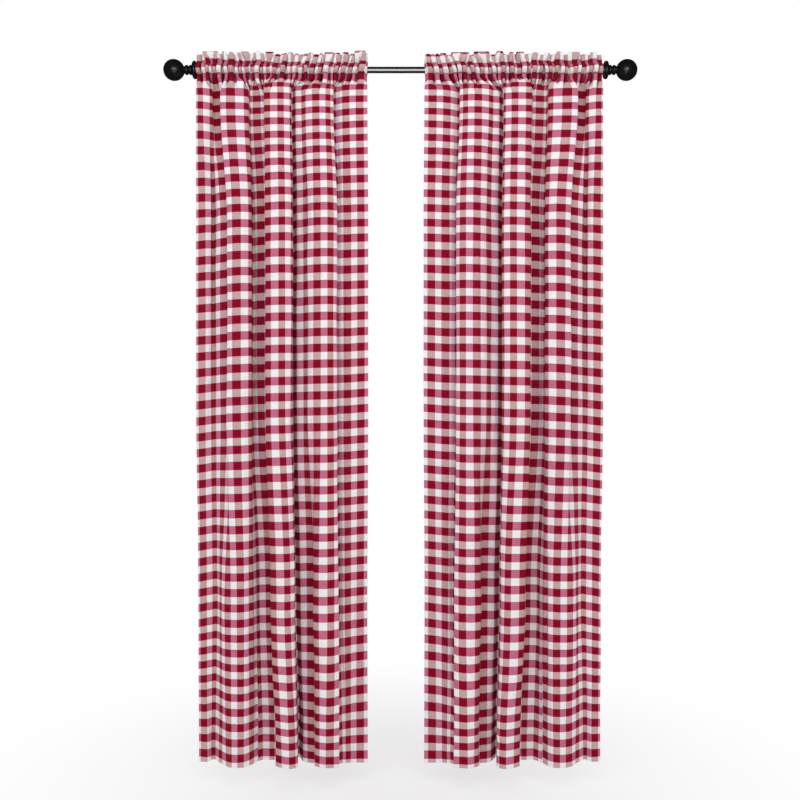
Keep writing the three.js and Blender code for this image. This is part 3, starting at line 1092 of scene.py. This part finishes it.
    def rows(self) -> SheetRows:
        """Lays out the sheet from the hem up the front, over the ruffle and down the pocket's back.

        Returns:
            The rows of its middle surface.
        """
        head = self.heading
        rows = SheetRows()
        drops = self.drops()
        hanging = self.hanging_plan(drops)
        away = np.exp(-(drops + head.lower_seam) / self.keep_clear) * head.layer_gap / 2
        hanging = hanging + plan_normals(hanging) * away[:, None, None]
        lower = np.interp(self.cloth, HEM_PLACES, HEM_LOWER)
        for drop, plan in zip(drops[::-1], hanging[::-1]):
            rows.add(plan, -drop - lower * smoothstep(drop, *self.hem_settles), drop + head.lower_seam)

        pocket = self.pocket()
        for front, _, height, length in pocket[1:]:
            rows.add(front, height, -length)
        pocket_length = pocket[-1][3]

        spread, top = self.ruffle_edge()
        ruffle_length = head.ruffle_top - head.upper_seam
        stitched = self.gathered(head.stitched_depth, 0.0)
        shares = np.linspace(0, 1, head.ruffle_rows + 1)
        for layer in (1, -1):
            for share in shares[1:] if layer > 0 else shares[-2::-1]:
                opened = share * share * (3 - 2 * share)
                plan = stitched + (spread - stitched) * opened
                parted = math.sin(math.pi * share) ** head.puff_power
                puff = (head.layer_gap + head.ruffle_puff * parted) / 2
                plan = plan + plan_normals(plan) * (0.0 if share == 1 else layer * puff)
                length = pocket_length + ruffle_length * (share if layer > 0 else 2 - share)
                rows.add(plan, head.upper_seam + (top - head.upper_seam) * share, -length)
        turned = pocket_length + 2 * ruffle_length
        for _, back, height, length in pocket[-2::-1]:
            rows.add(back, height, -(turned + pocket_length - length))
        rows.add(pocket[0][1], head.lower_seam - head.tail, -(turned + pocket_length + head.tail))
        return rows

    def weave_counts(self, below_seam: np.ndarray) -> np.ndarray:
        """Counts the checks across and down at each point of the sheet.

        Args:
            below_seam: length down the cloth of each row.

        Returns:
            Counts shaped (rows, columns, 2).
        """
        places = np.array([row.below_seam for row in WEAVE_ROWS], dtype=float)
        top = places[0]
        above = np.minimum(below_seam - top, 0) / CHECK
        counts = np.array([row.counts for row in WEAVE_ROWS])
        at_places = np.array([np.interp(below_seam, places, column) + above for column in counts.T])
        down = np.array([np.interp(self.cloth, self.weave_places, row) for row in at_places.T])
        down += self.row_slip * (1 - smoothstep(below_seam, 0, self.heading.slip_ends))[:, None]
        across = np.broadcast_to(self.cloth / CHECK - self.first_band, down.shape)
        return np.stack([across, down], axis=-1)

    def sheet_thickness(self, below_seam: np.ndarray) -> np.ndarray:
        """Thickness of the sheet at each point, about doubled at its hems.

        Args:
            below_seam: length down the cloth of each row.

        Returns:
            Thicknesses shaped (rows, columns).
        """
        hem = self.hem_drop + self.heading.lower_seam - self.bottom_hem
        at_bottom = smoothstep(below_seam, hem - self.hem_edge, hem + self.hem_edge)[:, None]
        inwards = np.minimum(self.cloth, CLOTH_WIDTH - self.cloth)
        at_side = 1 - smoothstep(inwards, self.side_hem - self.hem_edge, self.side_hem + self.hem_edge)
        return self.thickness + self.hem_extra * np.maximum(at_bottom, at_side)

    def build(self) -> bpy.types.Object:
        """Builds the closed sheet with its map of checks.

        Returns:
            The panel's object.
        """
        rows = self.rows()
        plan, height = np.array(rows.plan), np.array(rows.height)
        below_seam = np.array(rows.below_seam)
        sign = self.side.value
        from_middle = sign * (self.outer_edge - self.widen * plan[..., 0])
        middle = np.stack([from_middle, -plan[..., 1], height], axis=-1)
        normal = -sign * np.cross(np.gradient(middle, axis=1), np.gradient(middle, axis=0))
        normal /= np.linalg.norm(normal, axis=-1, keepdims=True)
        half = self.sheet_thickness(below_seam)[..., None] / 2
        self.outside, self.normal, self.below_seam = middle + normal * half, normal, below_seam
        points = np.concatenate([self.outside.reshape(-1, 3), (middle - normal * half).reshape(-1, 3)])

        faces = sheet_faces(*middle.shape[:2])
        if self.side is Side.RIGHT:
            faces = faces[:, ::-1]
        piece = mesh_object(self.side.node("cloth"), points * MM, faces)

        counts = self.weave_counts(below_seam).reshape(-1, 2)
        layer = piece.data.uv_layers.new(name="cloth")
        layer.data.foreach_set("uv", counts[faces.ravel() % len(counts)].astype(np.float32).ravel())
        return piece

    def stitch_paths(self) -> list[tuple[np.ndarray, np.ndarray]]:
        """Finds the lines of stitches on the sheet's outside.

        Returns:
            Pairs of points in metres and their normals.
        """
        head = self.heading
        pocket = head.pocket_rows
        lower = int(np.argmin(np.abs(self.below_seam)))
        upper = lower + pocket
        upper_back = upper + 2 * head.ruffle_rows
        lower_back = upper_back + pocket
        hem_seam = self.hem_drop + head.lower_seam - self.bottom_hem + self.hem_stitches
        hem = int(np.argmin(np.abs(self.below_seam - hem_seam)))
        sewn = (hem, lower, upper, upper_back, lower_back)
        return [(self.outside[row] * MM, self.normal[row]) for row in sewn]

    def dress(
        self, piece: bpy.types.Object, material: bpy.types.Material, stitches: bpy.types.Object
    ) -> None:
        """Gives the sheet its finish, hangs it under the root body and hides the imported panel.

        Args:
            piece: the panel's object.
            material: the gingham.
            stitches: the stitches sewn through it; not used.
        """
        piece.data.materials.append(material)
        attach(piece, "root")
        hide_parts(self.side.node("panel"))


@dataclass(frozen=True)
class Stitching:
    """Lines of machine stitches, laid along paths on the cloth.

    Attributes:
        length: length of one stitch.
        gap: space to the next stitch.
        radius: radius of the thread.
        stands_off: how far the thread's middle stands off the cloth, as a share of its radius.
    """

    length: float = 3.0
    gap: float = 0.9
    radius: float = 0.22
    stands_off: float = 0.4

    def tree(self) -> tuple[bpy.types.NodeTree, dict[str, str]]:
        """Builds the node tree that lays stitches along a path.

        Returns:
            The tree, and its inputs' names with their sockets' identifiers.
        """
        tree = bpy.data.node_groups.new("stitch line", "GeometryNodeTree")
        tree.interface.new_socket("Path", in_out="INPUT", socket_type="NodeSocketGeometry")
        kinds = {
            "Stitch Length": "NodeSocketFloat",
            "Pitch": "NodeSocketFloat",
            "Thread Radius": "NodeSocketFloat",
            "Thread": "NodeSocketMaterial",
        }
        sockets = {
            name: tree.interface.new_socket(name, in_out="INPUT", socket_type=kind).identifier
            for name, kind in kinds.items()
        }
        tree.interface.new_socket("Stitches", in_out="OUTPUT", socket_type="NodeSocketGeometry")
        bench = NodeBench(tree)
        given = bench.place("NodeGroupInput").outputs
        line = bench.place("GeometryNodeMeshToCurve", {"Mesh": given["Path"]}).outputs[0]
        spacing = {"Curve": line, "Length": given["Pitch"]}
        spaced = bench.place("GeometryNodeResampleCurve", spacing, mode="LENGTH")
        tangent = bench.place("GeometryNodeInputTangent").outputs[0]
        surface = bench.place(
            "GeometryNodeInputNamedAttribute", {"Name": "surface"}, data_type="FLOAT_VECTOR"
        )
        lie = bench.place("FunctionNodeAlignRotationToVector", {"Vector": tangent}, axis="X")
        turn = bench.place(
            "FunctionNodeAlignRotationToVector",
            {"Rotation": lie.outputs[0], "Vector": surface.outputs[0]},
            axis="Z",
            pivot_axis="X",
        )
        half = bench.math("MULTIPLY", given["Stitch Length"], 0.5)
        scale = bench.place(
            "ShaderNodeCombineXYZ", {0: half, 1: given["Thread Radius"], 2: given["Thread Radius"]}
        )
        bead = bench.place("GeometryNodeMeshUVSphere", {"Segments": 6, "Rings": 5, "Radius": 1.0})
        laid = bench.place(
            "GeometryNodeInstanceOnPoints",
            {
                "Points": spaced.outputs[0],
                "Instance": bead.outputs[0],
                "Rotation": turn.outputs[0],
                "Scale": scale.outputs[0],
            },
        )
        made = bench.place("GeometryNodeRealizeInstances", {"Geometry": laid.outputs[0]})
        dyed = bench.place(
            "GeometryNodeSetMaterial", {"Geometry": made.outputs[0], "Material": given["Thread"]}
        )
        bench.place("NodeGroupOutput", {"Stitches": dyed.outputs[0]})
        return tree, sockets

    def sew(
        self, name: str, paths: list[tuple[np.ndarray, np.ndarray]], thread: bpy.types.Material
    ) -> bpy.types.Object:
        """Sews stitches along paths.

        Args:
            name: name of the piece.
            paths: pairs of points and surface normals, in metres.
            thread: the thread's material.

        Returns:
            One plain mesh object of all the stitches.
        """
        off = self.radius * MM * self.stands_off
        points = np.concatenate([line + normal * off for line, normal in paths])
        normals = np.concatenate([normal for _, normal in paths])
        edges = []
        start = 0
        for line, _ in paths:
            edges += [(start + i, start + i + 1) for i in range(len(line) - 1)]
            start += len(line)
        mesh = bpy.data.meshes.new(name)
        mesh.from_pydata(points.tolist(), edges, [])
        surface = mesh.attributes.new("surface", "FLOAT_VECTOR", "POINT")
        surface.data.foreach_set("vector", normals.ravel())
        piece = add_object(name, mesh)
        tree, sockets = self.tree()
        modifier = piece.modifiers.new("stitches", "NODES")
        modifier.node_group = tree
        settings = {
            "Stitch Length": self.length * MM,
            "Pitch": (self.length + self.gap) * MM,
            "Thread Radius": self.radius * MM,
            "Thread": thread,
        }
        for setting, value in settings.items():
            modifier[sockets[setting]] = value
        evaluated = piece.evaluated_get(bpy.context.evaluated_depsgraph_get())
        made = bpy.data.meshes.new_from_object(evaluated)
        piece.modifiers.clear()
        piece.data = made
        made.name = name
        shade_smooth(made)
        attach(piece, "root")
        return piece


Profile = list[tuple[float, float]]

ON_AXIS = 1e-6  # a smaller radius is a point on the axis
SHARP_ANGLE = 40  # degrees from which an edge of a turned piece is sharp


def arc(
    centre: float,
    radius: float,
    half_width: float,
    start: float,
    end: float,
    steps: int,
    foot: float = 0.0,
) -> Profile:
    """Points of a turned profile on an ellipse, with 90 degrees at its widest.

    Args:
        centre: place of its middle along the axis.
        radius: how far it stands out from its foot.
        half_width: half its width along the axis.
        start: first angle in degrees.
        end: last angle in degrees.
        steps: edges of the arc.
        foot: radius that it stands on.

    Returns:
        Points as (radius, place along the axis).
    """
    angles = np.radians(np.linspace(start, end, steps + 1))
    return [(foot + radius * math.sin(a), centre - half_width * math.cos(a)) for a in angles]


def turned(name: str, profile: Profile, start: float, sign: int, sides: int = 72) -> bpy.types.Object:
    """Closed smooth body turned about the rod's axis.

    Args:
        name: name of the piece.
        profile: points as (radius, place along the axis), with both ends on the axis.
        start: distance of the profile's beginning from the middle of the rod.
        sign: 1 to run towards +X, -1 towards -X.
        sides: sides of the turning.

    Returns:
        The new object.
    """
    angles = np.radians(np.arange(sides) * 360 / sides)
    ring = [(math.cos(angle) * MM, math.sin(angle) * MM) for angle in angles]
    shape = bmesh.new()
    loops = []
    for radius, along in profile:
        place = sign * (start + along) * MM
        if radius < ON_AXIS:
            loops.append([shape.verts.new((place, 0, 0))] * sides)
        else:
            loops.append([shape.verts.new((place, radius * y, radius * z)) for y, z in ring])
    for low, high in zip(loops, loops[1:]):
        for i in range(sides):
            j = (i + 1) % sides
            corners = dict.fromkeys([low[i], low[j], high[j], high[i]])
            shape.faces.new(list(corners))
    bmesh.ops.recalc_face_normals(shape, faces=shape.faces)
    mesh = bpy.data.meshes.new(name)
    shape.to_mesh(mesh)
    shape.free()
    shade_smooth(mesh)
    mesh.set_sharp_from_angle(angle=math.radians(SHARP_ANGLE))
    return add_object(name, mesh)


@dataclass
class Rod:
    """The rod, its two collars and its two finials."""

    chamfer: float = 1.2
    clearance: float = 0.3
    collar_face: float = 43.0  # diameter of the flat of a collar's sides
    collar_steps: int = 24
    socket_depth: float = 8.0
    neck: float = 22.0  # diameter
    bead: float = 30.0  # diameter
    bead_width: float = 10.0
    bead_places: tuple[float, float] = (6.0, 18.5)
    bead_steps: int = 14
    ball_steps: int = 44
    ball_reach: float = 57.0  # from the collar's outer face to the ball's centre

    def tube(self) -> bpy.types.Object:
        """Turns the rod, with chamfered ends.

        Returns:
            The rod.
        """
        _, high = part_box("rod")
        radius, half = high.z / MM, high.x / MM
        inner = radius - self.chamfer
        profile = [(0, 0), (inner, 0), (radius, self.chamfer)]
        profile += [(radius, 2 * half - self.chamfer), (inner, 2 * half), (0, 2 * half)]
        return turned("rod_tube", profile, -half, 1)

    def collar(self, side: Side) -> bpy.types.Object:
        """Turns a rounded cap whose socket takes the rod's end.

        Args:
            side: the end of the rod that it is on.

        Returns:
            The cap.
        """
        low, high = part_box(side.node("collar"))
        width, radius = (high.x - low.x) / MM, high.z / MM
        inner_face = min(abs(low.x), abs(high.x)) / MM
        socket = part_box("rod")[1].z / MM + self.clearance
        face = self.collar_face / 2
        profile = [(0, self.socket_depth), (socket, self.socket_depth), (socket, 0)]
        profile += arc(width / 2, radius - face, width / 2, 0, 180, self.collar_steps, face)
        profile += [(0, width)]
        return turned(side.node("collar_cap"), profile, inner_face, side.value)

    def finial(self, side: Side) -> bpy.types.Object:
        """Turns a neck with two beads that ends in a ball.

        Args:
            side: the end of the rod that it is on.

        Returns:
            The finial.
        """
        low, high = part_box(side.node("finial"))
        start = min(abs(low.x), abs(high.x)) / MM
        ball, neck = high.z / MM, self.neck / 2
        meet = math.degrees(math.asin(neck / ball))
        profile: Profile = [(0, 0)]
        stands_out, half_width = self.bead / 2 - neck, self.bead_width / 2
        for place in self.bead_places:
            profile += arc(place, stands_out, half_width, 0, 180, self.bead_steps, neck)
        profile += arc(self.ball_reach, ball, ball, meet, 180, self.ball_steps)
        return turned(side.node("finial_ball"), profile, start, side.value)

    def build(self, groups: dict[str, bpy.types.NodeTree]) -> list[bpy.types.Object]:
        """Args:
            groups: the shared shader groups by name.

        Returns:
            The pieces.
        """
        lacquer, black = ROD_LACQUER.material(groups), FINIAL_BLACK.material(groups)
        made = [(self.tube(), "rod", "rod_lacquer", lacquer)]
        for side in Side:
            made.append((self.collar(side), side.node("collar"), "finial_black", black))
            made.append((self.finial(side), side.node("finial"), "finial_black", black))
        for piece, node, slot, material in made:
            piece.data.materials.append(material)
            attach(piece, "root")
            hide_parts(node)
        return [piece for piece, *_ in made]


@dataclass(frozen=True)
class Softbox:
    """A soft lamp, with its place, aim and size in metres.

    Attributes:
        name: name of the lamp.
        place: where it stands.
        aim: what it points at.
        size: its width and height.
        watts: its power.
        in_gloss: True to light only reflections, False to light only matt surfaces.
    """

    name: str
    place: tuple[float, float, float]
    aim: tuple[float, float, float]
    size: tuple[float, float]
    watts: float
    in_gloss: bool

    def build(self) -> None:
        """Adds the lamp to the scene."""
        lamp = bpy.data.lights.new(self.name, "AREA")
        lamp.shape = "RECTANGLE"
        lamp.size, lamp.size_y = self.size
        lamp.energy = self.watts
        softbox = add_object(self.name, lamp)
        softbox.location = self.place
        towards = Vector(self.aim) - Vector(self.place)
        softbox.rotation_euler = towards.to_track_quat("-Z", "Y").to_euler()
        softbox.visible_camera = False
        softbox.visible_diffuse = not self.in_gloss
        softbox.visible_glossy = self.in_gloss


SOFTBOXES = (
    Softbox("front", (0, -2.4, 0.9), (0, 0, -0.8), (3.6, 2.6), 40.0, in_gloss=False),
    Softbox("rod strip", (0, -2.6, -0.87), (0, 0, 0), (0.7, 3.2), 26.0, in_gloss=True),
    Softbox("left ball", (-0.62, -2.39, -0.15), (-0.69, 0, 0), (0.45, 0.45), 16.0, in_gloss=True),
    Softbox("right ball", (0.62, -2.39, -0.15), (0.69, 0, 0), (0.45, 0.45), 16.0, in_gloss=True),
)


@dataclass
class Studio:
    """Pale floor, soft light and the camera."""

    floor_drop: float = 2.17
    floor_size: float = 12.0
    camera_back: float = 3.0
    camera_height: float = -1.0
    camera_aside: float = -0.001
    focal_pixels: float = 990.0
    picture: float = 800.0
    sensor: float = 36.0
    ambient: float = 0.6
    glossy_ambient: float = 0.03
    near_glow: float = 0.55  # share of the floor's white that it gives off itself, under the curtains
    glow_reach: float = 1.6  # how far from there it is wholly white

    def build(self) -> None:
        """Builds the floor, the lights and the camera."""
        self.floor()
        self.lights()
        self.camera()
        bpy.context.scene.view_settings.view_transform = "Standard"

    def floor(self) -> None:
        """A pale floor under the hem that fades to white far away."""
        half = self.floor_size / 2
        corners = np.array([(-half, -half, 0), (half, -half, 0), (half, half, 0), (-half, half, 0)])
        floor = mesh_object("floor", corners - [0, 0, self.floor_drop], np.array([[0, 1, 2, 3]]))
        material, bench = new_material("pale floor")
        place = bench.place("ShaderNodeTexCoord").outputs["Object"]
        flat = bench.place("ShaderNodeVectorMath", {0: place, 1: (1, 1, 0)}, operation="MULTIPLY")
        distance = bench.place("ShaderNodeVectorMath", {0: flat.outputs[0]}, operation="LENGTH")
        fade = bench.ramp(distance.outputs["Value"], 0.0, self.glow_reach, self.near_glow, 1.0)
        paint = bench.place("ShaderNodeBsdfDiffuse", {"Color": (0.95, 0.95, 0.95, 1)})
        glow = bench.place("ShaderNodeEmission", {"Color": (1, 1, 1, 1), "Strength": 1.0})
        mixed = bench.place("ShaderNodeMixShader", {0: fade, 1: paint.outputs[0], 2: glow.outputs[0]})
        bench.place("ShaderNodeOutputMaterial", {"Surface": mixed.outputs[0]})
        floor.data.materials.append(material)
        floor.visible_glossy = False

    def lights(self) -> None:
        """A white surround, dimmer in reflections, and the softboxes."""
        world = bpy.data.worlds.new("surround")
        bpy.context.scene.world = world
        world.use_nodes = True
        bench = NodeBench(world.node_tree)
        path = bench.place("ShaderNodeLightPath").outputs
        dim = bench.ramp(path["Is Glossy Ray"], 0.0, 1.0, self.ambient, self.glossy_ambient)
        strength = bench.math("MAXIMUM", dim, path["Is Camera Ray"])
        surround = bench.place("ShaderNodeBackground", {"Color": (1, 1, 1, 1), "Strength": strength})
        bench.place("ShaderNodeOutputWorld", {"Surface": surround.outputs[0]})

        for softbox in SOFTBOXES:
            softbox.build()

    def camera(self) -> None:
        """A level camera straight in front, at the middle of the picture's height."""
        lens = bpy.data.cameras.new("camera")
        lens.sensor_width = self.sensor
        lens.lens = self.focal_pixels / self.picture * self.sensor
        camera = add_object("camera", lens)
        camera.location = (self.camera_aside, -self.camera_back, self.camera_height)
        camera.rotation_euler = (math.radians(90), 0, 0)
        bpy.context.scene.camera = camera


PANELS = (
    Panel(Side.LEFT, outer_edge=617.5, widen=1.0, seed=11),
    Panel(Side.RIGHT, outer_edge=613.0, widen=1.043, seed=29),
)


def main() -> None:
    """Builds the pieces in order and reports each one."""
    logging.basicConfig(level=logging.INFO, format="%(name)s: %(message)s")
    Studio().build()
    groups = {tree.name: tree for tree in (grain_group(), band_group(), weave_group())}
    for piece in Rod().build(groups):
        log.info("%s: %d faces", piece.name, len(piece.data.polygons))
    gingham, thread = GinghamFinish().material(groups), SEWING_THREAD.material(groups)
    for panel in PANELS:
        cloth = panel.build()
        stitches = Stitching().sew(panel.side.node("stitches"), panel.stitch_paths(), thread)
        panel.dress(cloth, gingham, stitches)
        for piece in (cloth, stitches):
            log.info("%s: %d faces", piece.name, len(piece.data.polygons))


if __name__ == "__main__":
    main()
